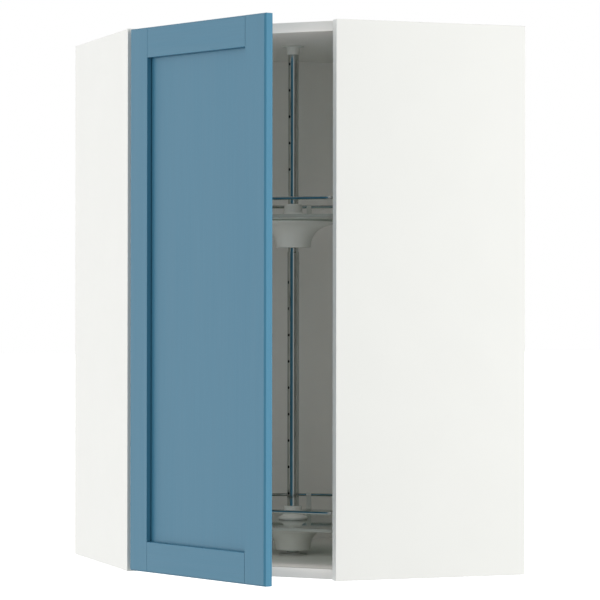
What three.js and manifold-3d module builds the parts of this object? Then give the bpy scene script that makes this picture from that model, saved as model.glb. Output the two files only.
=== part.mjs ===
// Corner carousel wall cabinet: a five-sided box that fills a room corner, with a framed
// door across its diagonal front and two glass shelves that turn on a fixed pole.
//
// Millimetres, +Z up. The origin is the pole's axis on the underside of the bottom panel.
// One wall of the room is the plane that faces -X at x = POLE_TO_WALL, the other the plane
// that faces -Y at y = POLE_TO_WALL. The door faces the room, between -X and -Y.

import * as THREE from 'three';
import { mergeVertices } from 'three/addons/utils/BufferGeometryUtils.js';
import Module from 'manifold-3d';

// ---- driving dimensions --------------------------------------------------------------

// Box
const HEIGHT = 1000;
const WALL_WIDTH = 666;           // outside width along each wall
const SIDE_DEPTH = 367.5;         // side panels, front edge to wall
const BOARD = 18;                 // side, top and bottom panels
const POLE_TO_WALL = 327.3;
const FRONT_SETBACK = 15.2;       // top and bottom panels' front edges, behind the opening
const BACK_BOARD = 4;
const BACK_INSET = 10;            // back panels, in from the wall
const GROOVE_DEPTH = 6.5;
const POST_LEG = 60;              // corner post's legs
const GAP = 0.3;                  // left between pieces that touch

// Hanging brackets
const BRACKET_SHEET = 2.5;
const BRACKET_HEIGHT = 64;
const BRACKET_TOP = 965;
const BRACKET_SIDE_LEG = 52;
const BRACKET_BACK_LEG = 44;
const BRACKET_SLOT = { width: 10, height: 22 };

// Door
const DOOR_WIDTH = 390;
const DOOR_HEIGHT = 994;
const DOOR_BOTTOM = 3.2;
const DOOR_THICK = 17;
const FRAME_FACE = 52.4;          // flat face of the stiles and rails
const FRAME_MEMBER = 57.4;        // out to the recessed panel
const PANEL_RECESS = 9.5;
const PANEL_THICK = 6;
const PANEL_TONGUE = 8;
const EDGE_ROUND = 2.5;

// Door hinges: a cup in the door, an arm on the left side panel and a link between them
const HINGE_HEIGHTS = { bottom: 110, middle: 500, top: 890 };
const OPEN_AT_REST = 24.56;       // degrees
const DOOR_CORNER_CLOSED = new THREE.Vector2(3, -1.5);
const DOOR_CORNER_AT_REST = new THREE.Vector2(3.77, -5.78);
const CUP_PIVOT = new THREE.Vector2(6, 5);    // from the door's back left corner
const LINK_LENGTH = 32;
const CUP_CENTRE = 23;            // from the door's left edge
const CUP_RADIUS = 17.5;
const CUP_DEPTH = 11.5;
const CUP_WALL = 2;
const FLANGE = { left: 1.5, right: 43, thick: 1.9, halfHeight: 26 };
const PIN_RADIUS = 1.6;
const EYE_RADIUS = 3.6;
const LINK_HALF_HEIGHT = 3.9;
const FORK_INSIDE = 4.3;          // half the gap between a fork's cheeks
const FORK_OUTSIDE = 7;
const BASE_HALF_HEIGHT = 22;
const ARM_SEAT = -2.5;            // hinge base's flat side, in the front frame's x
const ARM_SCREW = { radius: 2.4, y: 38 };

// Pole
const UPPER_TUBE = { outer: 9.9, inner: 8.7, bottom: 470, top: 976 };
const LOWER_TUBE = { outer: 11.2, inner: 10.25, bottom: 20.3, top: 592 };
const TUBE_TAPER = 4;             // height of the sloped edge at a tube's top end
const HOLE_PITCH = 50;
const HOLE_RADIUS = 2.8;
const HOLE_DIRECTION = 200;       // degrees about the pole, anticlockwise from +X
const LOWER_HOLES = { first: 134, count: 9 };
const UPPER_HOLES = { first: 748, count: 5 };
const LOCK_SCREW = { radius: 2.5, height: 570, proud: 2.5 };
const CEILING_BEARING = { lip: 965.6, collar: 979, collarRadius: 12.2, flangeRadius: 20 };
const FLOOR_BEARING = { flangeRadius: 27, flangeThick: 1.6, collarRadius: 15.5, collarTop: 22 };

// Carousel shelves
const SHELF_TOPS = { lower: 84.5, upper: 656.5 };
const GLASS = { radius: 251, flat: 190.5, corner: 26, thick: 6, hole: 22 };
const WIRE_INSET = 1.5;           // rail wire's centre, in from the glass edge
const WIRE_RADIUS = 2.9;
const RAIL_RISE = 29.3;           // rail wire's centre above the glass
const CLIP_WIDTH = 9;
const CLIP_HALF_HEAD = 4.8;       // clip's head, either side of the wire's centre
const CLIP_REACH = 3.5;           // clip's outside, out from the glass edge
const CLIP_ANGLES = [18, 68, 124, -18, -68, -124];   // degrees from the shelf's back
const HUB_HEIGHT = 25.7;
const HUB_FLANGE = 27.4;
const HUB_RADIUS = 17.3;
const BELL_DROP = 57;             // bell's rim below the glass top
const BELL_WALL = 2.6;
const BELL_FLANGE = 82;
const BELL_CROWN = 3.4;           // thickness under the glass
const SLEEVE_LIFT = 14;           // bell's sleeve above its rim
const SUPPORT_PIN = { radius: 2.5, halfLength: 21 };

const ROUND = 24;                 // segments on large turned pieces
const SMALL_ROUND = 12;           // segments on small ones

// ---- derived places ------------------------------------------------------------------

const WALL = POLE_TO_WALL;
const OUTER = WALL - WALL_WIDTH;               // outside of the side panels
const INNER = OUTER + BOARD;                   // their inside
const EDGE = WALL - SIDE_DEPTH;                // their front edges
const POLE_TO_OPENING = -(INNER + EDGE) / Math.SQRT2;
const BACK_FACE = WALL - BACK_INSET;           // wall side of the back panels
const BACK_INSIDE = BACK_FACE - BACK_BOARD;
const radians = THREE.MathUtils.degToRad;

// ---- solids --------------------------------------------------------------------------

const wasm = await Module();
wasm.setup();

// A closed solid for joining and cutting, from a geometry whose faces point out.
function solid(geometry) {
  const bare = geometry.index ? geometry.toNonIndexed() : geometry.clone();
  bare.deleteAttribute('normal');
  bare.deleteAttribute('uv');
  const merged = mergeVertices(bare, 1e-4);
  return new wasm.Manifold(new wasm.Mesh({
    numProp: 3,
    vertProperties: new Float32Array(merged.attributes.position.array),
    triVerts: new Uint32Array(merged.index.array),
  }));
}

function geometryOf(body) {
  const mesh = body.getMesh();
  const geometry = new THREE.BufferGeometry();
  geometry.setAttribute('position', new THREE.BufferAttribute(mesh.vertProperties, 3));
  geometry.setIndex(new THREE.BufferAttribute(mesh.triVerts, 1));
  geometry.computeVertexNormals();
  return geometry;
}

function cut(body, ...tools) {
  return tools.reduce((left, tool) => left.subtract(tool), body);
}

function joined(...bodies) {
  return bodies.reduce((whole, body) => whole.add(body));
}

function box(x, y, z) {
  const geometry = new THREE.BoxGeometry(x[1] - x[0], y[1] - y[0], z[1] - z[0]);
  geometry.translate((x[0] + x[1]) / 2, (y[0] + y[1]) / 2, (z[0] + z[1]) / 2);
  return solid(geometry);
}

// An upright prism on an outline of [x, y] points or a THREE.Shape.
function prism(outline, z0, z1, curveSegments = 12) {
  const shape = outline instanceof THREE.Shape
    ? outline
    : new THREE.Shape(outline.map(([x, y]) => new THREE.Vector2(x, y)));
  const geometry = new THREE.ExtrudeGeometry(shape, {
    depth: z1 - z0, bevelEnabled: false, curveSegments,
  });
  geometry.translate(0, 0, z0);
  return solid(geometry);
}

// A turned solid about the Z axis. The [radius, z] profile runs anticlockwise in the
// radius-z plane, and closes on itself or starts and ends on the axis.
function turned(profile, segments = ROUND) {
  const points = profile.map(([r, z]) => new THREE.Vector2(r, z));
  if (profile[0][0] > 0) points.push(points[0].clone());
  const geometry = new THREE.LatheGeometry(points, segments);
  geometry.rotateX(Math.PI / 2);
  return solid(geometry);
}

// A cylinder about the Z axis.
function rod(radius, z0, z1, segments = SMALL_ROUND) {
  return turned([[0, z0], [radius, z0], [radius, z1], [0, z1]], segments);
}

// A cylinder that lies along +X from the origin, turned about Z and moved.
function crossRod(radius, x0, x1, degrees, z, segments = SMALL_ROUND) {
  const geometry = new THREE.CylinderGeometry(radius, radius, x1 - x0, segments);
  geometry.rotateZ(-Math.PI / 2);
  geometry.translate((x0 + x1) / 2, 0, 0);
  geometry.rotateZ(radians(degrees));
  geometry.translate(0, 0, z);
  return solid(geometry);
}

// The same solid on the other side of the cabinet's diagonal.
function mirrored(body) {
  const mesh = body.getMesh();
  const vertProperties = mesh.vertProperties.slice();
  for (let i = 0; i < vertProperties.length; i += 3) {
    [vertProperties[i], vertProperties[i + 1]] = [vertProperties[i + 1], vertProperties[i]];
  }
  const triVerts = mesh.triVerts.slice();
  for (let i = 0; i < triVerts.length; i += 3) {
    [triVerts[i], triVerts[i + 1]] = [triVerts[i + 1], triVerts[i]];
  }
  return new wasm.Manifold(new wasm.Mesh({ numProp: 3, vertProperties, triVerts }));
}

// ---- materials -----------------------------------------------------------------------

const finish = (color, roughness, metalness, extra = {}) =>
  new THREE.MeshStandardMaterial({ color, roughness, metalness, ...extra });

const whiteFoil = finish(0xf2f3ee, 0.45, 0);
const bluePaint = finish(0x6492a5, 0.4, 0);
const chrome = finish(0xc4cacb, 0.12, 1);
const nickel = finish(0xb9bab5, 0.3, 1);
const zincSteel = finish(0xaeb2b3, 0.4, 1);
const greyPlastic = finish(0xd3d8d0, 0.5, 0);
const clearGlass = finish(0x6f8077, 0.05, 0, { transparent: true, opacity: 0.45 });

// ---- the scene graph -----------------------------------------------------------------

const cabinet = new THREE.Group();

// Front frame: its origin is the left side panel's inner front corner, with +X along the
// opening to the right and +Y into the cabinet.
const front = new THREE.Group();
front.position.set(INNER, EDGE, 0);
front.rotation.z = -Math.PI / 4;
cabinet.add(front);

// Door frame: its origin is the door's back left corner, with +X across the door and the
// door's face towards -Y.
const door = new THREE.Group();
door.position.set(DOOR_CORNER_AT_REST.x, DOOR_CORNER_AT_REST.y, 0);
door.rotation.z = -radians(OPEN_AT_REST);
front.add(door);

// Carousel frame: the flat front edges of the shelves face -Y.
const carousel = new THREE.Group();
carousel.rotation.z = -Math.PI / 4;
cabinet.add(carousel);

function place(name, body, material, parent = cabinet) {
  const mesh = new THREE.Mesh(geometryOf(body), material);
  mesh.name = name;
  parent.add(mesh);
}

// ---- box -----------------------------------------------------------------------------

function rightSidePanel() {
  const board = box([EDGE, WALL], [OUTER, INNER], [0, HEIGHT]);
  const groove = box([BACK_INSIDE - GAP, BACK_FACE + GAP],
    [INNER - GROOVE_DEPTH, INNER + 1], [-1, HEIGHT + 1]);
  return cut(board, groove);
}

// A five-sided board between the side panels, grooved for the back panels on one face.
function fiveSidedPanel(z0, grooveZ) {
  const side = INNER + GAP;
  const frontLine = -(POLE_TO_OPENING - FRONT_SETBACK) * Math.SQRT2;
  const board = prism([
    [side, frontLine - side], [frontLine - side, side], [WALL, side], [WALL, WALL], [side, WALL],
  ], z0, z0 + BOARD);
  const along = [side - 1, WALL - POST_LEG + GROOVE_DEPTH];
  const groove = box([BACK_INSIDE - GAP, BACK_FACE + GAP], along, grooveZ);
  return cut(board, groove, mirrored(groove));
}

function rightBackPanel() {
  const postGroove = WALL - POST_LEG + GROOVE_DEPTH;
  return box([BACK_INSIDE, BACK_FACE],
    [INNER - GROOVE_DEPTH + GAP, postGroove - GAP],
    [BOARD - GROOVE_DEPTH + GAP, HEIGHT - BOARD + GROOVE_DEPTH - GAP]);
}

// An L-shaped post in the room's corner that holds the back panels' meeting edges.
function cornerPost() {
  const start = WALL - POST_LEG;
  const inside = WALL - BOARD;
  const z = [BOARD + GAP, HEIGHT - BOARD - GAP];
  const ell = prism([
    [start, inside], [inside, inside], [inside, start], [WALL, start], [WALL, WALL], [start, WALL],
  ], z[0], z[1]);
  const groove = box([BACK_INSIDE - GAP, BACK_FACE + GAP], [start - 1, start + GROOVE_DEPTH],
    [0, HEIGHT]);
  return cut(ell, groove, mirrored(groove));
}

// An angle bracket inside the top back corner, with a slot for the wall rail's bolt.
function rightHangingBracket() {
  const side = INNER + GAP;
  const back = BACK_INSIDE - GAP;
  const z = [BRACKET_TOP - BRACKET_HEIGHT, BRACKET_TOP];
  const angle = prism([
    [back, side], [back, side + BRACKET_BACK_LEG],
    [back - BRACKET_SHEET, side + BRACKET_BACK_LEG],
    [back - BRACKET_SHEET, side + BRACKET_SHEET],
    [back - BRACKET_SIDE_LEG, side + BRACKET_SHEET], [back - BRACKET_SIDE_LEG, side],
  ], z[0], z[1]);
  const slotY = side + BRACKET_BACK_LEG / 2 + 2;
  const slotZ = BRACKET_TOP - BRACKET_HEIGHT / 2;
  const slot = box([back - 10, back + 1],
    [slotY - BRACKET_SLOT.width / 2, slotY + BRACKET_SLOT.width / 2],
    [slotZ - BRACKET_SLOT.height / 2, slotZ + BRACKET_SLOT.height / 2]);
  return cut(angle, slot);
}

const rightSide = rightSidePanel();
const rightBack = rightBackPanel();
const rightBracket = rightHangingBracket();
place('right_side_panel', rightSide, whiteFoil);
place('left_side_panel', mirrored(rightSide), whiteFoil);
place('bottom_panel', fiveSidedPanel(0, [BOARD - GROOVE_DEPTH, BOARD + 1]), whiteFoil);
place('top_panel',
  fiveSidedPanel(HEIGHT - BOARD, [HEIGHT - BOARD - 1, HEIGHT - BOARD + GROOVE_DEPTH]), whiteFoil);
place('right_back_panel', rightBack, whiteFoil);
place('left_back_panel', mirrored(rightBack), whiteFoil);
place('back_corner_post', cornerPost(), whiteFoil);
place('right_hanging_bracket', rightBracket, zincSteel);
place('left_hanging_bracket', mirrored(rightBracket), zincSteel);

// ---- door ----------------------------------------------------------------------------

// Section of a stile: x runs from its outer edge to the panel, y from its back to its face.
function stileSection() {
  const face = -DOOR_THICK;
  const ease = EDGE_ROUND * (1 - Math.SQRT1_2);
  const panelFace = face + PANEL_RECESS;
  const panelBack = panelFace + PANEL_THICK;
  return [
    [0, -1], [0, face + EDGE_ROUND], [ease, face + ease], [EDGE_ROUND, face],
    [FRAME_FACE, face], [FRAME_FACE + 2, face + 0.7], [FRAME_FACE + 3.4, face + 3],
    [FRAME_MEMBER, panelFace - GAP], [FRAME_MEMBER - PANEL_TONGUE - GAP, panelFace - GAP],
    [FRAME_MEMBER - PANEL_TONGUE - GAP, panelBack + GAP], [FRAME_MEMBER, panelBack + GAP],
    [FRAME_MEMBER, 0], [1, 0],
  ];
}

function leftStile() {
  const z = [DOOR_BOTTOM, DOOR_BOTTOM + DOOR_HEIGHT];
  const bored = Object.values(HINGE_HEIGHTS).map((height) =>
    cupShape(CUP_RADIUS + GAP, CUP_DEPTH + GAP, height));
  return cut(prism(stileSection(), z[0], z[1]), ...bored);
}

function rightStile() {
  const section = stileSection().map(([x, y]) => [DOOR_WIDTH - x, y]);
  return prism(section, DOOR_BOTTOM, DOOR_BOTTOM + DOOR_HEIGHT);
}

// A rail lies across the door between the stiles, scribed over their shaped edges.
function rail(fromTop) {
  const geometry = new THREE.ExtrudeGeometry(
    new THREE.Shape(stileSection().map(([x, y]) => new THREE.Vector2(x, y))),
    { depth: DOOR_WIDTH - 2, bevelEnabled: false });
  // The section's x becomes the height and its extrusion runs across the door.
  geometry.applyMatrix4(new THREE.Matrix4().makeBasis(
    new THREE.Vector3(0, 0, 1), new THREE.Vector3(0, 1, 0), new THREE.Vector3(-1, 0, 0)));
  geometry.translate(DOOR_WIDTH - 1, 0, 0);
  if (fromTop) {
    geometry.rotateY(Math.PI);
    geometry.translate(DOOR_WIDTH, 0, DOOR_BOTTOM + DOOR_HEIGHT);
  } else {
    geometry.translate(0, 0, DOOR_BOTTOM);
  }
  const grown = stileSection().map(([x, y]) => [x > 30 ? x + GAP : x - 5, y]);
  const [low, high] = [DOOR_BOTTOM - 5, DOOR_BOTTOM + DOOR_HEIGHT + 5];
  const filled = [[-5, 5], [-5, -DOOR_THICK - 5], [FRAME_FACE + GAP, -DOOR_THICK - 5],
    ...grown.slice(4, 8), [FRAME_MEMBER + GAP, 5]];
  const leftTool = prism(filled, low, high);
  const rightTool = prism(filled.map(([x, y]) => [DOOR_WIDTH - x, y]), low, high);
  return cut(solid(geometry), leftTool, rightTool);
}

function doorPanel() {
  const reach = FRAME_MEMBER - PANEL_TONGUE;
  const face = -DOOR_THICK + PANEL_RECESS;
  return box([reach, DOOR_WIDTH - reach], [face, face + PANEL_THICK],
    [DOOR_BOTTOM + reach, DOOR_BOTTOM + DOOR_HEIGHT - reach]);
}

// ---- hinges --------------------------------------------------------------------------

// The round part of a cup: it goes into the door's back, which is the plane y = 0.
function cupShape(radius, depth, height) {
  const geometry = new THREE.CylinderGeometry(radius, radius, depth + 1, ROUND);
  geometry.translate(CUP_CENTRE, 1 - (depth + 1) / 2, height);
  return solid(geometry);
}

function hingeCup(height) {
  const flange = box([FLANGE.left, FLANGE.right], [GAP, FLANGE.thick + GAP],
    [height - FLANGE.halfHeight, height + FLANGE.halfHeight]);
  const { x, y } = CUP_PIVOT;
  const ear = (z0, z1) => joined(
    prism([[x - EYE_RADIUS, GAP], [x + EYE_RADIUS, GAP], [x + EYE_RADIUS, y], [x - EYE_RADIUS, y]],
      z0, z1),
    rod(EYE_RADIUS, z0, z1).translate([x, y, 0]));
  const ears = joined(
    ear(height + FORK_INSIDE, height + FORK_OUTSIDE),
    ear(height - FORK_OUTSIDE, height - FORK_INSIDE));
  const hollow = cupShape(CUP_RADIUS - CUP_WALL, CUP_DEPTH - CUP_WALL, height).translate([0, 3, 0]);
  const mouth = cupShape(CUP_RADIUS - CUP_WALL, CUP_DEPTH - CUP_WALL, height);
  const shell = joined(flange, cupShape(CUP_RADIUS, CUP_DEPTH, height).translate([0, -GAP, 0]));
  const linkRoom = box([x - EYE_RADIUS - 1, x + EYE_RADIUS + 1], [GAP + 0.8, 12],
    [height - FORK_INSIDE, height + FORK_INSIDE]);
  const pinHole = rod(PIN_RADIUS + GAP, height - 10, height + 10).translate([x, y, 0]);
  return cut(joined(cut(shell, hollow, mouth), ears), linkRoom, pinHole);
}

function hingePin(pivot, height) {
  return rod(PIN_RADIUS, height - FORK_OUTSIDE - 0.4, height + FORK_OUTSIDE + 0.4)
    .translate([pivot.x, pivot.y, 0]);
}

// Where the link turns on the arm: the point that the cup pivot is equally far from with
// the door closed and with the door at rest.
const turnToRest = -radians(OPEN_AT_REST);
const doorCorner = new THREE.Vector2();
const cupPivotClosed = DOOR_CORNER_CLOSED.clone().add(CUP_PIVOT);
const cupPivotAtRest = CUP_PIVOT.clone().rotateAround(doorCorner, turnToRest)
  .add(DOOR_CORNER_AT_REST);
const pivotTravel = cupPivotAtRest.clone().sub(cupPivotClosed);
const armPivot = cupPivotClosed.clone().add(cupPivotAtRest).multiplyScalar(0.5).add(
  new THREE.Vector2(-pivotTravel.y, pivotTravel.x).normalize().multiplyScalar(
    Math.sqrt(LINK_LENGTH ** 2 - pivotTravel.length() ** 2 / 4)));

const screwHole = (height) =>
  crossRod(ARM_SCREW.radius, -13, 20, 0, height).translate([0, ARM_SCREW.y, 0]);

// A wedge on the side panel, whose right face squares the arm up to the door.
function hingeBase(height) {
  const onPanel = (x) => [x, -x + GAP * Math.SQRT2];
  return cut(
    prism([onPanel(-9.2), [ARM_SEAT, 15.6], [ARM_SEAT, 47], [-8, 52.5], onPanel(-30.2)],
      height - BASE_HALF_HEIGHT, height + BASE_HALF_HEIGHT),
    screwHole(height));
}

function hingeArm(height) {
  const { x, y } = armPivot;
  const seat = ARM_SEAT + GAP;
  const plan = prism([
    [seat, 46], [seat, 17], [4, 17], [x - 8, y + 10], [x - EYE_RADIUS, y],
    [x + EYE_RADIUS, y], [x + EYE_RADIUS, y + 13], [x - 1, y + 18], [7, 27], [5, 46],
  ], height - FORK_OUTSIDE, height + FORK_OUTSIDE);
  const eye = rod(EYE_RADIUS, height - FORK_OUTSIDE, height + FORK_OUTSIDE).translate([x, y, 0]);
  const linkRoom = box([x - 14, x + 12], [y - 12, y + EYE_RADIUS + 2],
    [height - FORK_INSIDE, height + FORK_INSIDE]);
  const pinHole = rod(PIN_RADIUS + GAP, height - 10, height + 10).translate([x, y, 0]);
  return cut(joined(plan, eye), linkRoom, pinHole, screwHole(height));
}

function hingeLink(height) {
  const z = [height - LINK_HALF_HEIGHT, height + LINK_HALF_HEIGHT];
  const eye = ({ x, y }, r) => rod(r, z[0], z[1]).translate([x, y, 0]);
  const run = armPivot.clone().sub(cupPivotAtRest).normalize();
  const half = new THREE.Vector2(-run.y, run.x).multiplyScalar(2.6);
  const corner = (p, sign) => [p.x + sign * half.x, p.y + sign * half.y];
  const bar = prism([
    corner(cupPivotAtRest, -1), corner(armPivot, -1), corner(armPivot, 1), corner(cupPivotAtRest, 1),
  ], z[0], z[1]);
  const holes = [armPivot, cupPivotAtRest].map((pivot) =>
    rod(PIN_RADIUS + GAP, z[0] - 1, z[1] + 1).translate([pivot.x, pivot.y, 0]));
  const eyes = joined(bar, eye(armPivot, EYE_RADIUS - 0.2), eye(cupPivotAtRest, EYE_RADIUS - 0.2));
  return cut(eyes, ...holes);
}

place('door_left_stile', leftStile(), bluePaint, door);
place('door_right_stile', rightStile(), bluePaint, door);
place('door_bottom_rail', rail(false), bluePaint, door);
place('door_top_rail', rail(true), bluePaint, door);
place('door_panel', doorPanel(), bluePaint, door);

for (const [where, height] of Object.entries(HINGE_HEIGHTS)) {
  place(`${where}_hinge_base`, hingeBase(height), zincSteel, front);
  place(`${where}_hinge_arm`, hingeArm(height), nickel, front);
  place(`${where}_hinge_arm_pin`, hingePin(armPivot, height), chrome, front);
  place(`${where}_hinge_link`, hingeLink(height), nickel, front);
  place(`${where}_hinge_cup`, hingeCup(height), nickel, door);
  place(`${where}_hinge_cup_pin`, hingePin(CUP_PIVOT, height), chrome, door);
}

// ---- pole ----------------------------------------------------------------------------

function tube({ outer, inner, bottom, top }, holes, extra = []) {
  const body = turned([
    [inner, bottom], [outer, bottom], [outer, top - TUBE_TAPER],
    [(outer + inner) / 2, top], [inner, top],
  ]);
  const drilled = Array.from({ length: holes.count }, (_, i) =>
    crossRod(HOLE_RADIUS, 0, outer + 2, HOLE_DIRECTION, holes.first + i * HOLE_PITCH));
  return cut(body, ...drilled, ...extra);
}

const rimOf = (shelfTop) => shelfTop - BELL_DROP;
const pinHeight = (shelfTop) => rimOf(shelfTop) + SLEEVE_LIFT - SUPPORT_PIN.radius - GAP;
const TOOL_REACH = 20;            // a drill's length to either side of the pole's axis
const pinPassage = (height) =>
  crossRod(HOLE_RADIUS, -TOOL_REACH, TOOL_REACH, HOLE_DIRECTION - 90, height);
const LOCK_DIRECTION = HOLE_DIRECTION - 180;

// The screw through the lower tube that holds the upper tube at its height.
function lockScrew() {
  return crossRod(LOCK_SCREW.radius, UPPER_TUBE.outer + GAP, LOWER_TUBE.outer + LOCK_SCREW.proud,
    LOCK_DIRECTION, LOCK_SCREW.height);
}

// A plug that closes on the pole's top end and is screwed under the top panel.
function ceilingBearing() {
  const under = HEIGHT - BOARD - GAP;
  const bore = UPPER_TUBE.outer + GAP;
  const { lip, collar, collarRadius, flangeRadius } = CEILING_BEARING;
  return turned([
    [bore, lip], [collarRadius - 0.8, lip], [collarRadius, collar], [flangeRadius, collar + 1.2],
    [flangeRadius, under], [0, under], [0, under - 3], [bore, under - 3],
  ]);
}

// A flanged plug on the bottom panel that the pole's lower end stands in.
function floorBearing() {
  const floor = BOARD + GAP;
  const bore = LOWER_TUBE.outer + GAP;
  const { flangeRadius, flangeThick, collarRadius, collarTop } = FLOOR_BEARING;
  return turned([
    [0, floor], [flangeRadius, floor], [flangeRadius, floor + flangeThick],
    [collarRadius, floor + flangeThick + 0.6], [collarRadius - 1, collarTop], [bore, collarTop],
    [bore, LOWER_TUBE.bottom - GAP], [0, LOWER_TUBE.bottom - GAP],
  ]);
}

place('pole_lower_tube', tube(LOWER_TUBE, LOWER_HOLES, [
  pinPassage(pinHeight(SHELF_TOPS.lower)),
  crossRod(HOLE_RADIUS, 0, TOOL_REACH, LOCK_DIRECTION, LOCK_SCREW.height),
]), chrome);
place('pole_upper_tube', tube(UPPER_TUBE, UPPER_HOLES, [
  pinPassage(pinHeight(SHELF_TOPS.upper)),
]), chrome);
place('pole_lock_screw', lockScrew(), nickel);
place('ceiling_bearing', ceilingBearing(), greyPlastic);
place('floor_bearing', floorBearing(), greyPlastic);

// ---- carousel shelves ----------------------------------------------------------------

// A round outline with a flat front and rounded front corners.
function shelfOutline(radius, flat, corner, Kind = THREE.Shape) {
  const x = Math.sqrt((radius - corner) ** 2 - (flat - corner) ** 2);
  const meet = Math.atan2(corner - flat, x);
  const outline = new Kind();
  outline.moveTo(-x, -flat);
  outline.lineTo(x, -flat);
  outline.absarc(x, corner - flat, corner, -Math.PI / 2, meet, false);
  outline.absarc(0, 0, radius, meet, Math.PI - meet, false);
  outline.absarc(-x, corner - flat, corner, Math.PI - meet, 1.5 * Math.PI, false);
  return outline;
}

function glassPlate(top) {
  const outline = shelfOutline(GLASS.radius, GLASS.flat, GLASS.corner);
  const hole = new THREE.Path();
  hole.absarc(0, 0, GLASS.hole, 0, 2 * Math.PI, true);
  outline.holes.push(hole);
  return prism(outline, top - GLASS.thick, top, 12);
}

// A wire hoop that follows the glass edge: a round section swept once round the outline.
function railHoop(height) {
  const outline = shelfOutline(GLASS.radius - WIRE_INSET, GLASS.flat - WIRE_INSET,
    GLASS.corner - WIRE_INSET, THREE.Path);
  const steps = 64;
  const sides = 6;
  const centres = outline.getSpacedPoints(steps).slice(0, steps);
  const positions = [];
  const indices = [];
  centres.forEach((centre, i) => {
    const before = centres[(i + steps - 1) % steps];
    const after = centres[(i + 1) % steps];
    const run = after.clone().sub(before).normalize();
    for (let k = 0; k < sides; k += 1) {
      const turn = (2 * Math.PI * k) / sides;
      const away = WIRE_RADIUS * Math.cos(turn);
      positions.push(centre.x + run.y * away, centre.y - run.x * away,
        height + WIRE_RADIUS * Math.sin(turn));
      const next = (k + 1) % sides;
      const here = i * sides;
      const there = ((i + 1) % steps) * sides;
      indices.push(here + k, there + k, there + next, here + k, there + next, here + next);
    }
  });
  const geometry = new THREE.BufferGeometry();
  geometry.setAttribute('position', new THREE.Float32BufferAttribute(positions, 3));
  geometry.setIndex(indices);
  return solid(geometry);
}

// A moulded clip: its foot grips the glass edge and its head holds the rail wire.
function railClip(top, degreesFromBack) {
  const edge = GLASS.radius;
  const jaw = edge - 9;
  const wire = edge - WIRE_INSET;
  const head = top + RAIL_RISE + WIRE_RADIUS + 1.6;
  const under = top - GLASS.thick - GAP;
  const half = CLIP_HALF_HEAD;
  const section = new THREE.Shape([
    [jaw, top + GAP], [edge + GAP, top + GAP], [edge + GAP, under], [jaw, under], [jaw, under - 2.5],
    [edge + CLIP_REACH - 0.5, under - 2.5], [edge + CLIP_REACH, top + 8],
    [wire + half, head - 2], [wire + half - 1.4, head], [wire - half + 1.4, head],
    [wire - half, head - 2], [wire - half, top + 8], [jaw, top + 4],
  ].map(([r, z]) => new THREE.Vector2(r, z)));
  const geometry = new THREE.ExtrudeGeometry(section, { depth: CLIP_WIDTH, bevelEnabled: false });
  geometry.translate(0, 0, -CLIP_WIDTH / 2);
  geometry.rotateX(Math.PI / 2);
  const wireHole = new THREE.CylinderGeometry(WIRE_RADIUS + GAP, WIRE_RADIUS + GAP,
    CLIP_WIDTH + 2, SMALL_ROUND);
  wireHole.translate(wire, 0, top + RAIL_RISE);
  return cut(solid(geometry), solid(wireHole)).rotate([0, 0, 90 + degreesFromBack]);
}

function hub(top, bore) {
  const low = top + GAP;
  return turned([
    [bore, top - GLASS.thick + 1], [GLASS.hole - 1.5, top - GLASS.thick + 1],
    [GLASS.hole - 1.5, low], [HUB_FLANGE - 0.8, low], [HUB_FLANGE, low + 1],
    [HUB_FLANGE, low + 4.4], [HUB_RADIUS + 1.2, low + 8.6], [HUB_RADIUS, low + 10],
    [HUB_RADIUS, top + HUB_HEIGHT - 1.5],
    [HUB_RADIUS - 1.5, top + HUB_HEIGHT], [bore, top + HUB_HEIGHT],
  ]);
}

// The bell's outside, as [drop below the glass top, radius] from its top to its rim.
const BELL_SIDE = [
  [8.5, BELL_FLANGE], [12.5, 74], [15, 66], [18.5, 58.5], [22.5, 52.5], [27.5, 46.5], [32.5, 42],
  [38.5, 38], [46.5, 35], [BELL_DROP, 33],
];

function bell(top, bore) {
  const seat = top - GLASS.thick - GAP;
  const rim = rimOf(top);
  const outside = BELL_SIDE.map(([drop, radius]) => [radius, top - drop]).reverse();
  const inside = outside.slice(0, -2).map(([r, z]) => [r - BELL_WALL, z]).reverse();
  const crown = seat - BELL_CROWN;
  const sleeve = bore + 3;
  return turned([
    [outside[0][0] - BELL_WALL, rim], ...outside,
    [BELL_FLANGE, seat], [bore, seat], [bore, rim + SLEEVE_LIFT], [sleeve, rim + SLEEVE_LIFT],
    [sleeve, crown], [56, crown], ...inside.slice(1, -1),
  ]);
}

const SHELVES = {
  lower: { top: SHELF_TOPS.lower, bore: LOWER_TUBE.outer + GAP },
  upper: { top: SHELF_TOPS.upper, bore: UPPER_TUBE.outer + GAP },
};

for (const [where, { top, bore }] of Object.entries(SHELVES)) {
  place(`${where}_glass_shelf`, glassPlate(top), clearGlass, carousel);
  place(`${where}_shelf_hub`, hub(top, bore), greyPlastic, carousel);
  place(`${where}_shelf_bell`, bell(top, bore), greyPlastic, carousel);
  place(`${where}_shelf_rail`, railHoop(top + RAIL_RISE), chrome, carousel);
  CLIP_ANGLES.forEach((angle, i) => {
    place(`${where}_rail_clip_${i + 1}`, railClip(top, angle), greyPlastic, carousel);
  });
  place(`${where}_support_pin`, crossRod(SUPPORT_PIN.radius, -SUPPORT_PIN.halfLength,
    SUPPORT_PIN.halfLength, HOLE_DIRECTION - 90, pinHeight(top)), nickel);
}

export default cabinet;
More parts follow.
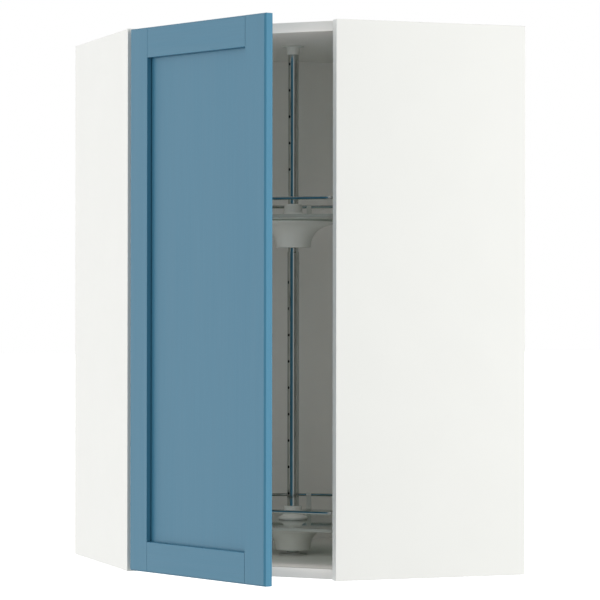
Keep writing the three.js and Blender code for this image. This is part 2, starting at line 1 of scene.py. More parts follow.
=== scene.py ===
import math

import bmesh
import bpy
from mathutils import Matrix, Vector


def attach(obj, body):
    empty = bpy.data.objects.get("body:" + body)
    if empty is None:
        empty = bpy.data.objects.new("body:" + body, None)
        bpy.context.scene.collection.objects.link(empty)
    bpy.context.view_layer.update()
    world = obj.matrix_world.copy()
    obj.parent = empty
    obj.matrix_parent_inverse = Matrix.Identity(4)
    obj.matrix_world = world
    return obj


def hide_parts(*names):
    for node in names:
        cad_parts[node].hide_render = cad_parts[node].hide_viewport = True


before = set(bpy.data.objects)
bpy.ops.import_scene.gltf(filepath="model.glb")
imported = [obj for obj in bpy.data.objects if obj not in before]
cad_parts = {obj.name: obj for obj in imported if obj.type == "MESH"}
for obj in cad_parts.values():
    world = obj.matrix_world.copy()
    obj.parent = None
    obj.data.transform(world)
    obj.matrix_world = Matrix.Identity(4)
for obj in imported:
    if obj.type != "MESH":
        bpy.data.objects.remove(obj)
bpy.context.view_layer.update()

# Corner carousel wall cabinet. The box, its brackets, the hinges and the pole's lock screw are
# the frame's own nodes with small rounded edges. The door, the pole, its bearings and pins and
# the two glass shelves are fuller pieces in the same places. Sizes are millimetres, turned
# into metres where a mesh is made.

# ---- driving dimensions --------------------------------------------------------------

MM = 0.001

# Box
HEIGHT = 1000
WALL_WIDTH = 666
SIDE_DEPTH = 367.5
BOARD = 18
POLE_TO_WALL = 327.3
GAP = 0.3
INNER = POLE_TO_WALL - WALL_WIDTH + BOARD      # inside of the side panels
EDGE = POLE_TO_WALL - SIDE_DEPTH               # their front edges

# Door
DOOR_WIDTH = 390
DOOR_HEIGHT = 994
DOOR_BOTTOM = 3.2
DOOR_THICK = 17
FRAME_FACE = 52.4               # left stile
WIDE_FACE = 55.4                # right stile and rails
FRAME_MEMBER = 57.4
PANEL_RECESS = 9.5
PANEL_THICK = 6
PANEL_TONGUE = 8
OPEN_AT_REST = 24.56
DOOR_CORNER_AT_REST = (3.77, -5.78)
FACE_CHAMFER = 2.8              # round the front of the door
BACK_ROUND = 1.0
FRAME_SLOPE = 0.8               # how far the frame's inner wall runs in from its face
PANEL_SLOT = 1.2                # shadow gap between the wall's foot and the panel
JOINT_EASE = 0.6                # chamfer where a rail meets a stile
JOINT_GAP = 0.25

# Hinges
HINGE_HEIGHTS = {"bottom": 110, "middle": 500, "top": 890}
CUP_CENTRE = 23
CUP_RADIUS = 17.5
CUP_DEPTH = 11.5

# Pole
UPPER_TUBE = {"outer": 9.9, "inner": 8.7, "bottom": 470, "top": 976}
LOWER_TUBE = {"outer": 11.2, "inner": 10.25, "bottom": 20.3, "top": 592}
HOLE_RADIUS = 2.8
HOLE_PITCH = 50
HOLE_DIRECTION = 200
LOWER_HOLES = {"first": 134, "count": 9}
UPPER_HOLES = {"first": 748, "count": 5}

# Carousel shelves
SHELF_TOPS = {"lower": 84.5, "upper": 656.5}
GLASS = {"radius": 251, "flat": 190.5, "corner": 26, "thick": 6, "hole": 22}
WIRE_INSET = 1.5
WIRE_RADIUS = 2.9
RAIL_RISE = 29.3
CLIP_WIDTH = 9
CLIP_HALF_HEAD = 4.8
CLIP_ANGLES = (18, 68, 124, -18, -68, -124)
HUB_HEIGHT = 25.7
HUB_RADIUS = 17.3
HUB_FLANGE = 27.4
BELL_DROP = 57
BELL_WALL = 2.6
BELL_FLANGE = 82
SLEEVE_LIFT = 14
SUPPORT_PIN = {"radius": 2.5, "half_length": 21}

# ---- frames: each takes its own millimetres to the row frame -------------------------


def placed(x, y, degrees):
    return Matrix.Translation((x, y, 0)) @ Matrix.Rotation(math.radians(degrees), 4, "Z")


SCALE = Matrix.Scale(MM, 4)
ROW = SCALE
FRONT = SCALE @ placed(INNER, EDGE, -45)
DOOR = FRONT @ placed(*DOOR_CORNER_AT_REST, -OPEN_AT_REST)
CAROUSEL = SCALE @ placed(0, 0, -45)

# ---- materials -----------------------------------------------------------------------


class Surface:
    """A principled material whose detail is measured in millimetres on the object."""

    def __init__(self, name, color, roughness, metallic=0.0, **sockets):
        self.material = bpy.data.materials.new(name)
        self.material.use_nodes = True
        self.tree = self.material.node_tree
        self.shader = self.tree.nodes["Principled BSDF"]
        self.color = color
        self.roughness = roughness
        self.shader.inputs["Base Color"].default_value = (*color, 1)
        self.shader.inputs["Roughness"].default_value = roughness
        self.shader.inputs["Metallic"].default_value = metallic
        for socket, value in sockets.items():
            self.shader.inputs[socket.replace("_", " ")].default_value = value
        self.place = self.tree.nodes.new("ShaderNodeTexCoord").outputs["Object"]
        self.bumps = None

    def noise(self, size, stretch=(1, 1, 1), detail=3.0):
        """Noise whose lumps are about size millimetres, longer along a stretched axis."""
        mapping = self.tree.nodes.new("ShaderNodeMapping")
        mapping.inputs["Scale"].default_value = [1 / (size * MM * s) for s in stretch]
        self.tree.links.new(self.place, mapping.inputs["Vector"])
        texture = self.tree.nodes.new("ShaderNodeTexNoise")
        texture.inputs["Scale"].default_value = 1.0
        texture.inputs["Detail"].default_value = detail
        self.tree.links.new(mapping.outputs["Vector"], texture.inputs["Vector"])
        return texture.outputs["Fac"]

    def vary_color(self, source, amount):
        """Lightens and darkens the colour by up to amount, as a share of it."""
        ramp = self.tree.nodes.new("ShaderNodeValToRGB")
        ramp.color_ramp.elements[0].position = 0.3
        ramp.color_ramp.elements[1].position = 0.7
        ramp.color_ramp.elements[0].color = (*[c * (1 - amount) for c in self.color], 1)
        ramp.color_ramp.elements[1].color = (*[min(1, c * (1 + amount)) for c in self.color], 1)
        self.tree.links.new(source, ramp.inputs["Fac"])
        self.tree.links.new(ramp.outputs["Color"], self.shader.inputs["Base Color"])
        return self

    def vary_roughness(self, source, amount):
        spread = self.tree.nodes.new("ShaderNodeMapRange")
        spread.inputs["From Min"].default_value = 0.3
        spread.inputs["From Max"].default_value = 0.7
        spread.inputs["To Min"].default_value = self.roughness - amount
        spread.inputs["To Max"].default_value = self.roughness + amount
        self.tree.links.new(source, spread.inputs["Value"])
        self.tree.links.new(spread.outputs["Result"], self.shader.inputs["Roughness"])
        return self

    def bump(self, source, height, strength=1.0):
        """Raises the surface by up to height millimetres."""
        node = self.tree.nodes.new("ShaderNodeBump")
        node.inputs["Strength"].default_value = strength
        node.inputs["Distance"].default_value = height * MM
        self.tree.links.new(source, node.inputs["Height"])
        if self.bumps:
            self.tree.links.new(self.bumps, node.inputs["Normal"])
        self.bumps = node.outputs["Normal"]
        self.tree.links.new(self.bumps, self.shader.inputs["Normal"])
        return self


def melamine():
    surface = Surface("white melamine", (0.875, 0.88, 0.845), 0.42)
    surface.vary_color(surface.noise(90), 0.006)
    surface.vary_roughness(surface.noise(14), 0.04)
    return surface.bump(surface.noise(0.9, detail=2), 0.012).material


def hardboard():
    surface = Surface("white back board", (0.86, 0.865, 0.83), 0.5)
    surface.vary_color(surface.noise(60), 0.008)
    surface.vary_roughness(surface.noise(9), 0.05)
    return surface.bump(surface.noise(1.6, detail=3), 0.02).material


def blue_lacquer(name, color, stretch):
    """Lacquer over a foil or board whose faint grain runs along the stretched axis."""
    surface = Surface(name, color, 0.4)
    surface.vary_color(surface.noise(2.2, stretch, 4), 0.022)
    surface.vary_roughness(surface.noise(6, stretch), 0.04)
    surface.bump(surface.noise(1.1, stretch, 4), 0.02)
    return surface.bump(surface.noise(0.8, detail=2), 0.006).material


def plated(name, color, roughness, grain, along):
    surface = Surface(name, color, roughness, 1.0)
    surface.vary_color(surface.noise(25), 0.03)
    surface.vary_roughness(surface.noise(grain, along), 0.03)
    return surface.bump(surface.noise(grain, along, 2), 0.0015).material


def moulded_plastic():
    surface = Surface("pale grey plastic", (0.66, 0.69, 0.65), 0.46)
    surface.vary_color(surface.noise(22), 0.012)
    surface.vary_roughness(surface.noise(5), 0.05)
    return surface.bump(surface.noise(0.6, detail=2), 0.012).material


def float_glass():
    surface = Surface("float glass", (0.54, 0.65, 0.59), 0.05,
                      Transmission_Weight=1.0, IOR=1.4)
    surface.vary_roughness(surface.noise(40), 0.012)
    return surface.bump(surface.noise(160, detail=1), 0.05).material


def ground_edge():
    surface = Surface("ground glass edge", (0.30, 0.335, 0.305), 0.42,
                      Transmission_Weight=0.35, IOR=1.5)
    surface.vary_color(surface.noise(12), 0.03)
    return surface.bump(surface.noise(0.8, detail=2), 0.02).material


MELAMINE = melamine()
HARDBOARD = hardboard()
DOOR_BLUE = (0.056, 0.226, 0.352)
BLUE_UPRIGHT = blue_lacquer("blue lacquer, upright grain", DOOR_BLUE, (1, 1, 60))
BLUE_ACROSS = blue_lacquer("blue lacquer, grain across", DOOR_BLUE, (22, 60, 1))
CHROME = plated("chrome", (0.45, 0.475, 0.46), 0.09, 1.2, (1, 1, 30))
NICKEL = plated("nickel plate", (0.62, 0.61, 0.57), 0.28, 0.5, (1, 1, 8))
ZINC = plated("zinc plate", (0.56, 0.57, 0.58), 0.38, 3.0, (1, 1, 1))
PLASTIC = moulded_plastic()
GLASS_MATERIAL = float_glass()
GLASS_EDGE = ground_edge()

# ---- meshes --------------------------------------------------------------------------


def piece(name, vertices, faces, material, body, slot, at=ROW, replaces=(), sharp=35):
    """A mesh given in the millimetres of the frame at, smooth but for its sharp edges."""
    build = bmesh.new()
    made = [build.verts.new(at @ Vector(v)) for v in vertices]
    for face in faces:
        build.faces.new([made[i] for i in face])
    bmesh.ops.remove_doubles(build, verts=build.verts, dist=1e-7)
    bmesh.ops.dissolve_degenerate(build, edges=build.edges, dist=1e-7)
    bmesh.ops.recalc_face_normals(build, faces=build.faces)
    for edge in build.edges:
        edge.smooth = edge.calc_face_angle(0) < math.radians(sharp)
    for face in build.faces:
        face.smooth = True
    mesh = bpy.data.meshes.new(name)
    build.to_mesh(mesh)
    build.free()
    mesh.materials.append(material)
    made_object = bpy.data.objects.new(name, mesh)
    bpy.context.scene.collection.objects.link(made_object)
    flatten(made_object)
    if body:
        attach(made_object, body)
    if replaces:
        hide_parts(*replaces)
    return made_object


def flatten(target):
    """Keeps broad faces flat in shading, with the turn of the light in the small ones."""
    weighted = target.modifiers.new("weighted normals", "WEIGHTED_NORMAL")
    weighted.keep_sharp = True


def arc(x, y, radius, start, end, steps):
    """Points on an arc about (x, y), from one angle in degrees to another."""
    turns = [math.radians(start + (end - start) * i / steps) for i in range(steps + 1)]
    return [(x + radius * math.cos(t), y + radius * math.sin(t)) for t in turns]


def circle(x, y, radius, steps):
    return arc(x, y, radius, 0, 360, steps)[:-1]


def turned(profile, segments=96):
    """A closed [radius, z] profile turned about the Z axis."""
    vertices = []
    for i in range(segments):
        turn = 2 * math.pi * i / segments
        vertices += [(r * math.cos(turn), r * math.sin(turn), z) for r, z in profile]
    count = len(profile)
    faces = []
    for i in range(segments):
        here, there = i * count, ((i + 1) % segments) * count
        for k in range(count):
            n = (k + 1) % count
            if profile[k][0] == 0 and profile[n][0] == 0:
                continue
            ring = [here + k, there + k, there + n, here + n]
            if profile[k][0] == 0:
                ring = [here + k, there + n, here + n]
            elif profile[n][0] == 0:
                ring = [here + k, there + k, here + n]
            faces.append(ring)
    return vertices, faces


def lofted(rings, closed=False):
    """Rings of equally many points joined in order, with end caps unless it closes."""
    count = len(rings[0])
    vertices = [point for ring in rings for point in ring]
    faces = []
    spans = len(rings) if closed else len(rings) - 1
    for i in range(spans):
        here, there = i * count, ((i + 1) % len(rings)) * count
        for k in range(count):
            n = (k + 1) % count
            faces.append([here + k, here + n, there + n, there + k])
    if not closed:
        faces.append(list(range(count))[::-1])
        faces.append([len(vertices) - count + k for k in range(count)])
    return vertices, faces


def soften(node, width, segments=2, angle=30):
    """Rounds a node's sharp edges by a modifier, with its shape otherwise as it is."""
    weld = node.modifiers.new("weld", "WELD")
    weld.merge_threshold = 1e-6
    bevel = node.modifiers.new("bevel", "BEVEL")
    bevel.width = width * MM
    bevel.segments = segments
    bevel.limit_method = "ANGLE"
    bevel.angle_limit = math.radians(angle)
    bevel.harden_normals = False
    node.data.shade_flat()


def bored(target, vertices, faces, at=ROW):
    """Cuts a tool's mesh out of a piece."""
    tool = piece("tool", vertices, faces, PLASTIC, None, None, at)
    modifier = target.modifiers.new("bore", "BOOLEAN")
    modifier.operation = "DIFFERENCE"
    modifier.solver = "EXACT"
    modifier.object = tool
    bpy.context.view_layer.update()
    shape = bpy.data.meshes.new_from_object(
        target.evaluated_get(bpy.context.evaluated_depsgraph_get()))
    target.modifiers.clear()
    target.data = shape
    flatten(target)
    bpy.data.objects.remove(tool)


def drills(heights, radius, near, far, degrees):
    """Level drills that point out from the pole's axis at the given heights."""
    vertices, faces = [], []
    way = Matrix.Rotation(math.radians(degrees), 3, "Z")
    for height in heights:
        rings = [[tuple(way @ Vector((x, y, z)) + Vector((0, 0, height)))
                  for y, z in circle(0, 0, radius, 24)] for x in (near, far)]
        more, sides = lofted(rings)
        faces += [[i + len(vertices) for i in face] for face in sides]
        vertices += more
    return vertices, faces


# ---- box -----------------------------------------------------------------------------


def dress(nodes, material, round_to=None):
    for name in nodes:
        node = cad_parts[name]
        node.data.materials.clear()
        node.data.materials.append(material)
        if round_to:
            soften(node, round_to)


dress(["left_side_panel", "right_side_panel", "bottom_panel", "top_panel",
       "back_corner_post"], MELAMINE, 0.7)
dress(["left_back_panel", "right_back_panel"], HARDBOARD, 0.3)
dress(["left_hanging_bracket", "right_hanging_bracket"], ZINC, 0.4)

# ---- door ----------------------------------------------------------------------------


def inner_edge(width):
    """The frame's inner wall, [x, y] from the eased edge of its face down to the panel."""
    face = -DOOR_THICK
    foot = face + PANEL_RECESS - PANEL_SLOT
    lip = [(width - JOINT_EASE, face), (width, face + JOINT_EASE)]
    return lip + [(width + FRAME_SLOPE, foot - 0.5), (width + FRAME_SLOPE - 0.1, foot)]


def member_section(width):
    """Section of a stile or rail: x from its outer edge, y from its back to its face."""
    face = -DOOR_THICK
    foot = face + PANEL_RECESS - PANEL_SLOT
    back_panel = face + PANEL_RECESS + PANEL_THICK
    tongue = FRAME_MEMBER - PANEL_TONGUE
    step = 0.02                 # between the corners where the depth changes
    outline = arc(BACK_ROUND, -BACK_ROUND, BACK_ROUND, 90, 180, 4)[:-1]
    outline += [(0, back_panel + step), (0, back_panel - step), (0, foot + step), (0, foot - step)]
    outline += [(0, face + FACE_CHAMFER + 0.3), (0.15, face + FACE_CHAMFER - 0.1),
                (FACE_CHAMFER - 0.1, face + 0.15), (FACE_CHAMFER + 0.3, face)]
    outline += inner_edge(width)
    outline += [(tongue, foot), (tongue, foot + step), (tongue, back_panel - step),
                (tongue, back_panel), (FRAME_MEMBER, back_panel)]
    outline += arc(FRAME_MEMBER - 0.5, -0.5, 0.5, 0, 90, 2)
    return outline


def edge_at(width, y):
    """How far the stile reaches at a depth: its shaped edge, the groove that takes the
    rail's tenon, then the full member."""
    line = inner_edge(width)
    for (x0, y0), (x1, y1) in zip(line, line[1:]):
        if y <= y1:
            return x0 + (x1 - x0) * max(0, y - y0) / (y1 - y0)
    in_groove = y < -DOOR_THICK + PANEL_RECESS + PANEL_THICK
    return FRAME_MEMBER - PANEL_TONGUE if in_groove else FRAME_MEMBER


def stile(side, width, mirror):
    section = member_section(width)
    rings = [(0, FACE_CHAMFER), (FACE_CHAMFER, 0)]
    levels = rings + [(DOOR_HEIGHT - z, ease) for z, ease in reversed(rings)]
    loops = []
    for z, ease in levels:
        loop = []
        for x, y in section:
            depth = max(y, -DOOR_THICK + ease) if ease else y
            loop.append((DOOR_WIDTH - x if mirror else x, depth, DOOR_BOTTOM + z))
        loops.append(loop)
    vertices, faces = lofted(loops)
    return piece(f"door-{side}-stile", vertices, faces, BLUE_UPRIGHT, "door", "blue_paint", DOOR,
                 [f"door_{side}_stile"])


def rail(end, from_top):
    """A rail whose ends are scribed over the stiles, with a fine chamfer at each joint."""
    section = member_section(WIDE_FACE)
    loops = []
    for width, mirror in ((FRAME_FACE, False), (WIDE_FACE, True)):
        stations = [(0.0, JOINT_EASE), (JOINT_EASE, 0.0)]
        for step, ease in (reversed(stations) if mirror else stations):
            loop = []
            for height, y in section:
                depth = max(y, -DOOR_THICK + ease)
                x = edge_at(width, depth) + JOINT_GAP + step
                z = DOOR_HEIGHT - height if from_top else height
                loop.append((DOOR_WIDTH - x if mirror else x, depth, DOOR_BOTTOM + z))
            loops.append(loop)
    vertices, faces = lofted(loops)
    return piece(f"door-{end}-rail", vertices, faces, BLUE_ACROSS, "door", "blue_paint", DOOR,
                 [f"door_{end}_rail"])


def cup_bores():
    """The round pockets in the back of the stile that take the hinge cups."""
    vertices, faces = [], []
    radius = CUP_RADIUS + GAP
    for height in HINGE_HEIGHTS.values():
        rings = [[(x, y, z) for x, z in circle(CUP_CENTRE, height, radius, 60)]
                 for y in (-CUP_DEPTH - GAP, 1)]
        more, sides = lofted(rings)
        faces += [[i + len(vertices) for i in face] for face in sides]
        vertices += more
    return vertices, faces


def door_panel():
    reach = FRAME_MEMBER - 4
    face = -DOOR_THICK + PANEL_RECESS
    loops = []
    for y in (face, face + PANEL_THICK):
        loop = [(reach, y, DOOR_BOTTOM + reach), (DOOR_WIDTH - reach, y, DOOR_BOTTOM + reach),
                (DOOR_WIDTH - reach, y, DOOR_BOTTOM + DOOR_HEIGHT - reach),
                (reach, y, DOOR_BOTTOM + DOOR_HEIGHT - reach)]
        loops.append(loop)
    vertices, faces = lofted(loops)
    return piece("door-panel", vertices, faces, BLUE_UPRIGHT, "door", "blue_paint", DOOR,
                 ["door_panel"])


bored(stile("left", FRAME_FACE, False), *cup_bores(), DOOR)
stile("right", WIDE_FACE, True)
rail("bottom", False)
rail("top", True)
door_panel()

# ---- hinges --------------------------------------------------------------------------

for where in HINGE_HEIGHTS:
    dress([f"{where}_hinge_base"], ZINC, 0.5)
    dress([f"{where}_hinge_arm", f"{where}_hinge_link", f"{where}_hinge_cup"], NICKEL, 0.3)
    dress([f"{where}_hinge_arm_pin", f"{where}_hinge_cup_pin"], CHROME)

# ---- pole ----------------------------------------------------------------------------

DRILL_REACH = 20
TUBE_EASE = 0.4
TAPER = 4                       # how far below its top a tube starts to narrow


def pin_height(shelf_top):
    return shelf_top - BELL_DROP + SLEEVE_LIFT - SUPPORT_PIN["radius"] - GAP


def tube(name, size, holes, pin_at, node):
    outer, inner, bottom, top = (size[k] for k in ("outer", "inner", "bottom", "top"))
    profile = [(inner, bottom), (outer - TUBE_EASE, bottom), (outer, bottom + TUBE_EASE),
               (outer, top - TAPER), (outer - 0.1, top - 2.6), ((outer + inner) / 2, top),
               (inner, top)]
    made = piece(name, *turned(profile), CHROME, "cabinet", "chrome", ROW, [node])
    heights = [holes["first"] + i * HOLE_PITCH for i in range(holes["count"])]
    bored(made, *drills(heights, HOLE_RADIUS, 1, DRILL_REACH, HOLE_DIRECTION))
    bored(made, *drills([pin_at], HOLE_RADIUS, -DRILL_REACH, DRILL_REACH, HOLE_DIRECTION - 90))
    return made


tube("pole-lower-tube", LOWER_TUBE, LOWER_HOLES, pin_height(SHELF_TOPS["lower"]),
     "pole_lower_tube")
tube("pole-upper-tube", UPPER_TUBE, UPPER_HOLES, pin_height(SHELF_TOPS["upper"]),
     "pole_upper_tube")
dress(["pole_lock_screw"], NICKEL, 0.3)


def ceiling_bearing():
    under = HEIGHT - BOARD - GAP
    bore = UPPER_TUBE["outer"] + GAP
    profile = [(bore, 965.6), (11.1, 965.6), (11.4, 966.0), (12.2, 978.0), (12.9, 979.4),
               (14.2, 980.0), (19.4, 980.2), (20, 980.6), (20, under), (0, under),
               (0, under - 3), (bore, under - 3)]
    return piece("ceiling-bearing", *turned(profile), PLASTIC, "cabinet", "grey_plastic", ROW,
                 ["ceiling_bearing"])


def floor_bearing():
    floor = BOARD + GAP
    bore = LOWER_TUBE["outer"] + GAP
    low = LOWER_TUBE["bottom"] - GAP
    profile = [(0, floor), (26.6, floor), (27, floor + 0.4), (26.6, floor + 1.4),
               (15.8, floor + 2.1), (14.9, floor + 2.8), (14.5, 21.7), (14.2, 22), (bore, 22),
               (bore, low), (0, low)]
    return piece("floor-bearing", *turned(profile), PLASTIC, "cabinet", "grey_plastic", ROW,
                 ["floor_bearing"])


ceiling_bearing()
floor_bearing()

# ---- carousel shelves ----------------------------------------------------------------


def shelf_outline(inset, back_steps=220):
    """The glass edge, moved in by inset: a round back, a flat front, rounded corners."""
    radius, flat, corner = (GLASS[k] - inset for k in ("radius", "flat", "corner"))
    x = math.sqrt((radius - corner) ** 2 - (flat - corner) ** 2)
    meet = math.degrees(math.atan2(corner - flat, x))
    points = [(-x + 2 * x * i / 24, -flat) for i in range(24)]
    points += arc(x, corner - flat, corner, -90, meet, 18)[:-1]
    points += arc(0, 0, radius, meet, 180 - meet, back_steps)[:-1]
    points += arc(-x, corner - flat, corner, 180 - meet, 270, 18)[:-1]
    return points


LEVEL = 0.95                    # a face whose normal has less Z than this is in the edge


def glass_plate(where, top, body):
    arris = 0.7
    under = top - GLASS["thick"]
    loops = []
    for inset, z in ((arris, under), (0, under + arris), (0, top - arris), (arris, top)):
        loops.append([(x, y, z) for x, y in shelf_outline(inset)])
    rim = shelf_outline(0)
    hole = [Vector(point).normalized() * GLASS["hole"] for point in rim]
    for z in (top, under):
        loops.append([(x, y, z) for x, y in hole])
    vertices, faces = lofted(loops, closed=True)
    made = piece(f"{where}-glass-shelf", vertices, faces, GLASS_MATERIAL, body, "glass", CAROUSEL,
                 [f"{where}_glass_shelf"], sharp=25)
    made.data.materials.append(GLASS_EDGE)
    for face in made.data.polygons:
        if abs(face.normal.z) < LEVEL:
            face.material_index = 1
    made.visible_shadow = False
    return made


def hub(where, top, bore, body):
    low = top + GAP
    high = top + HUB_HEIGHT
    profile = [(bore, top - 5), (GLASS["hole"] - 1.5, top - 5), (GLASS["hole"] - 1.5, low)]
    profile += [(HUB_FLANGE - 0.8, low), (HUB_FLANGE, low + 0.8), (HUB_FLANGE, low + 3.9),
                (HUB_FLANGE - 0.7, low + 4.7), (HUB_RADIUS + 2.6, low + 7.7),
                (HUB_RADIUS + 0.7, low + 9), (HUB_RADIUS, low + 10.6)]
    profile += arc(HUB_RADIUS - 1.5, high - 1.5, 1.5, 0, 90, 5)
    profile += [(bore + 0.5, high), (bore, high - 0.5)]
    return piece(f"{where}-shelf-hub", *turned(profile), PLASTIC, body, "grey_plastic", CAROUSEL,
                 [f"{where}_shelf_hub"])


BELL_SIDE = ((8.5, BELL_FLANGE), (12.5, 74), (14.5, 66), (17.5, 58), (21, 51.5), (26, 45.5),
             (31, 41), (37.5, 37), (46, 34.2), (BELL_DROP, 33))


def bell(where, top, bore, body):
    seat = top - GLASS["thick"] - GAP
    rim = top - BELL_DROP
    outside = [(r, top - drop) for drop, r in BELL_SIDE][::-1]
    inside = [(r - BELL_WALL, z) for r, z in outside[:-2]][::-1]
    crown = seat - 3.4
    profile = [(outside[0][0] - BELL_WALL, rim + 0.3), (outside[0][0] - BELL_WALL + 0.4, rim),
               (outside[0][0] - 0.5, rim), (outside[0][0], rim + 0.5)]
    profile += outside[1:] + [(BELL_FLANGE - 0.3, seat - 1.1), (BELL_FLANGE - 1.2, seat - 0.3),
                              (BELL_FLANGE - 2.6, seat), (bore, seat), (bore, rim + SLEEVE_LIFT),
                              (bore + 3, rim + SLEEVE_LIFT), (bore + 3, crown), (56, crown)]
    profile += inside[1:-1]
    return piece(f"{where}-shelf-bell", *turned(profile, 128), PLASTIC, body, "grey_plastic",
                 CAROUSEL, [f"{where}_shelf_bell"])


def wire_rail(where, top, body):
    path = shelf_outline(WIRE_INSET)
    count = len(path)
    loops = []
    for i, (x, y) in enumerate(path):
        x0, y0 = path[i - 1]
        x1, y1 = path[(i + 1) % count]
        run = Vector((x1 - x0, y1 - y0)).normalized()
        loops.append([(x + run.y * away, y - run.x * away, top + RAIL_RISE + up)
                      for away, up in circle(0, 0, WIRE_RADIUS, 16)])
    vertices, faces = lofted(loops, closed=True)
    return piece(f"{where}-shelf-rail", vertices, faces, CHROME, body, "chrome", CAROUSEL,
                 [f"{where}_shelf_rail"])


def clip(where, number, top, angle, body):
    """A moulded clip: a jaw on the glass edge, a stem and an eye round the wire."""
    edge = GLASS["radius"]
    jaw = edge - 9
    wire = edge - WIRE_INSET
    under = top - GLASS["thick"] - GAP
    eye = arc(wire, top + RAIL_RISE, CLIP_HALF_HEAD - 0.2, -35, 215, 14)
    section = [(jaw, top + GAP), (edge + GAP, top + GAP), (edge + GAP, under), (jaw, under),
               (jaw, under - 1.6), (jaw + 1, under - 2.5), (edge + 2, under - 2.5),
               (edge + 3.2, under - 1), (edge + 3.2, top + 4), (edge + 2.4, top + 12)]
    section += eye + [(wire - 3.6, top + 12), (wire - 4.4, top + 5.5), (jaw, top + 3)]
    half = CLIP_WIDTH / 2
    loops = []
    for y, inset in ((-half, 0.6), (-half + 0.6, 0), (half - 0.6, 0), (half, 0.6)):
        middle_r = sum(r for r, _ in section) / len(section)
        middle_z = sum(z for _, z in section) / len(section)
        keep_r, keep_z = 1 - inset / 10, 1 - inset / 24
        loops.append([(middle_r + (r - middle_r) * keep_r, y, middle_z + (z - middle_z) * keep_z)
                      for r, z in section])
    vertices, faces = lofted(loops)
    at = CAROUSEL @ Matrix.Rotation(math.radians(90 + angle), 4, "Z")
    return piece(f"{where}-rail-clip-{number}", vertices, faces, PLASTIC, body, "grey_plastic",
                 at, [f"{where}_rail_clip_{number}"], sharp=30)


def support_pin(where, top):
    radius, half = SUPPORT_PIN["radius"], SUPPORT_PIN["half_length"]
    profile = [(0, -half), (radius - 0.5, -half), (radius, -half + 0.5), (radius, half - 0.5),
               (radius - 0.5, half), (0, half)]
    lay = Matrix.Translation((0, 0, pin_height(top))) @ Matrix.Rotation(
        math.radians(HOLE_DIRECTION - 90), 4, "Z") @ Matrix.Rotation(math.pi / 2, 4, "Y")
    return piece(f"{where}-support-pin", *turned(profile, 32), NICKEL, "cabinet", "nickel",
                 ROW @ lay, [f"{where}_support_pin"])


for where, shelf_top in SHELF_TOPS.items():
    rides = f"{where}_shelf"
    pole_size = LOWER_TUBE if where == "lower" else UPPER_TUBE
    bore_radius = pole_size["outer"] + GAP
    glass_plate(where, shelf_top, rides)
    hub(where, shelf_top, bore_radius, rides)
    bell(where, shelf_top, bore_radius, rides)
    wire_rail(where, shelf_top, rides)
    for number, clip_angle in enumerate(CLIP_ANGLES, 1):
        clip(where, number, shelf_top, clip_angle, rides)
    support_pin(where, shelf_top)

# ---- stage, light and camera ---------------------------------------------------------

FLOOR_DROP = 0.35               # metres; the cabinet hangs clear of the floor
FLOOR_REACH = 40                # metres
FLOOR_GLOW = 0.7                # keeps the floor white under the dim overhead light
OPENING = (EDGE - INNER) * math.sqrt(2)         # between the side panels' front corners
WARM = (1, 0.89, 0.85)          # makes up for the blue that the door's back throws inside


def floor():
    mesh = bpy.data.meshes.new("floor")
    corners = [(-1, -1), (1, -1), (1, 1), (-1, 1)]
    mesh.from_pydata([(x * FLOOR_REACH, y * FLOOR_REACH, -FLOOR_DROP) for x, y in corners],
                     [], [(0, 1, 2, 3)])
    surface = Surface("pale floor", (0.93, 0.93, 0.93), 0.9)
    surface.vary_color(surface.noise(400), 0.004)
    surface.shader.inputs["Emission Color"].default_value = (1, 1, 1, 1)
    surface.shader.inputs["Emission Strength"].default_value = FLOOR_GLOW
    mesh.materials.append(surface.material)
    plane = bpy.data.objects.new("floor", mesh)
    bpy.context.scene.collection.objects.link(plane)
    plane.visible_diffuse = False
    plane.visible_glossy = False
    plane.visible_transmission = False


def lamp(name, at, towards, size, power, color=(1, 1, 1)):
    """A rectangular lamp that only its light shows, not its image in the metal or lacquer."""
    light = bpy.data.lights.new(name, "AREA")
    light.shape = "RECTANGLE"
    light.size, light.size_y = size
    light.energy = power
    light.color = color
    holder = bpy.data.objects.new(name, light)
    bpy.context.scene.collection.objects.link(holder)
    holder.location = at
    holder.rotation_euler = towards.to_track_quat("-Z", "Y").to_euler()
    holder.visible_glossy = False
    holder.visible_camera = False


def softbox(name, azimuth, elevation, distance, size, brightness):
    """Lights the cabinet's middle from a compass direction. At brightness 1 a white board
    square on to the lamp would look white."""
    turn, lift = math.radians(azimuth), math.radians(elevation)
    way = Vector((math.cos(turn) * math.cos(lift), math.sin(turn) * math.cos(lift), math.sin(lift)))
    lamp(name, Vector((0, 0, 0.5)) + way * distance, -way, size,
         brightness * (math.pi * distance) ** 2)


def inward_lamp(name, middle, towards, width, height, brightness):
    """A fill lamp in millimetres. At brightness 1 it looks as bright as a lit white board."""
    lamp(name, Vector(middle) * MM, Vector(towards), (width * MM, height * MM),
         brightness * math.pi * width * height * MM ** 2, WARM)


def opening_fill(brightness):
    """Light that comes in through the open front, as from a bright room."""
    middle = (INNER + EDGE) / 2
    inward_lamp("opening fill", (middle, middle, HEIGHT / 2), (1, 1, 0), OPENING,
                HEIGHT - 2 * BOARD, brightness)


def low_fill(brightness):
    """Light that skims in over the bottom panel, as from a white floor in front."""
    inside = (INNER + EDGE) / 2 + 20
    inward_lamp("low fill", (inside, inside, 45), (1, 1, 0), OPENING, 45, brightness)


def gap_fill(brightness):
    """Light between the open door and the right panel's front edge."""
    inward_lamp("gap fill", (-150, -345, HEIGHT / 2), (1, 0, 0), 60, HEIGHT, brightness)


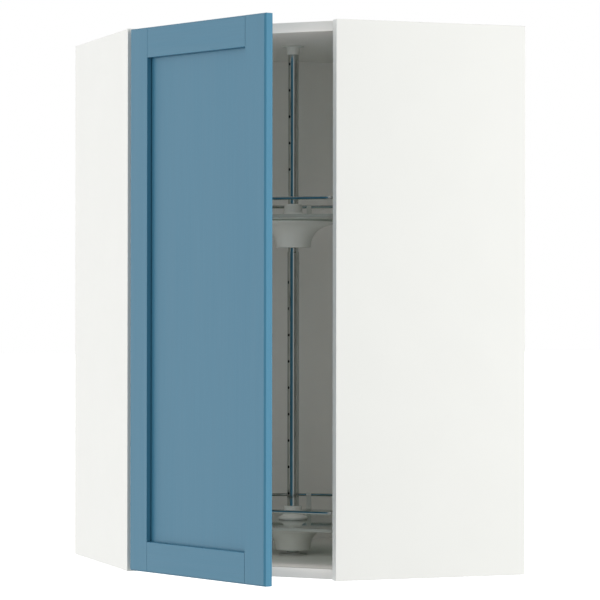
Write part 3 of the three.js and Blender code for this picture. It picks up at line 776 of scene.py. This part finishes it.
def overhead(strength, spread):
    light = bpy.data.lights.new("overhead", "SUN")
    light.energy = strength
    light.angle = math.radians(spread)
    bpy.context.scene.collection.objects.link(bpy.data.objects.new("overhead", light))


def surroundings(dim, glows):
    """A studio that is white where the camera sees it. Its light is dim all round, with
    glows at given azimuths that fade towards the floor and the ceiling."""
    world = bpy.data.worlds.new("studio")
    world.use_nodes = True
    bpy.context.scene.world = world
    tree = world.node_tree
    tree.nodes.clear()

    def combined(operation, *sources):
        node = tree.nodes.new("ShaderNodeMath")
        node.operation = operation
        for socket, source in zip(node.inputs, sources):
            if isinstance(source, (int, float)):
                socket.default_value = source
            else:
                tree.links.new(source, socket)
        return node.outputs["Value"]

    direction = tree.nodes.new("ShaderNodeTexCoord").outputs["Generated"]
    split = tree.nodes.new("ShaderNodeSeparateXYZ")
    tree.links.new(direction, split.inputs["Vector"])
    level = combined("SUBTRACT", 1.0, combined("POWER", split.outputs["Z"], 2.0))
    total = dim
    for azimuth, strength in glows:
        side = tree.nodes.new("ShaderNodeVectorMath")
        side.operation = "DOT_PRODUCT"
        turn = math.radians(azimuth)
        side.inputs[1].default_value = (math.cos(turn), math.sin(turn), 0)
        tree.links.new(direction, side.inputs[0])
        glow = combined("MULTIPLY", combined("MAXIMUM", side.outputs["Value"], 0.0), strength)
        total = combined("ADD", combined("MULTIPLY", glow, combined("POWER", level, 2.0)), total)
    camera_ray = tree.nodes.new("ShaderNodeLightPath").outputs["Is Camera Ray"]
    background = tree.nodes.new("ShaderNodeBackground")
    background.inputs["Color"].default_value = (1, 1, 1, 1)
    tree.links.new(combined("MAXIMUM", total, camera_ray), background.inputs["Strength"])
    output = tree.nodes.new("ShaderNodeOutputWorld")
    tree.links.new(background.outputs["Background"], output.inputs["Surface"])


CAMERA_AT = (-1753.97, -4894.17, 491.67)
CAMERA_HEADING = (0.3397, 0.9405)
CAMERA_PITCH = 0.0967           # degrees up
CAMERA_ROLL = 0.0708            # degrees
FOCAL_PIXELS = 2738.75          # in an image 600 pixels wide
SENSOR = 36


def camera():
    lens = bpy.data.cameras.new("camera")
    lens.sensor_width = SENSOR
    lens.lens = FOCAL_PIXELS * SENSOR / 600
    lens.clip_end = 100
    eye = bpy.data.objects.new("camera", lens)
    bpy.context.scene.collection.objects.link(eye)
    ahead = Vector((*CAMERA_HEADING, 0)).normalized()
    right = Vector((ahead.y, -ahead.x, 0))
    pitch, roll = math.radians(CAMERA_PITCH), math.radians(CAMERA_ROLL)
    look = math.cos(pitch) * ahead + math.sin(pitch) * Vector((0, 0, 1))
    up = math.cos(pitch) * Vector((0, 0, 1)) - math.sin(pitch) * ahead
    tilted_right = math.cos(roll) * right + math.sin(roll) * up
    tilted_up = math.cos(roll) * up - math.sin(roll) * right
    turn = Matrix((tilted_right, tilted_up, -look)).transposed().to_4x4()
    eye.matrix_world = Matrix.Translation(Vector(CAMERA_AT) * MM) @ turn
    bpy.context.scene.camera = eye


floor()
softbox("right softbox", 312, 0, 5, (2.4, 4), 0.77)
opening_fill(0.47)
gap_fill(0.85)
low_fill(0.65)
overhead(0.38, 50)
surroundings(dim=0.38, glows=((141, 1.43), (330, 0.6)))
camera()
bpy.context.scene.view_settings.view_transform = "Standard"
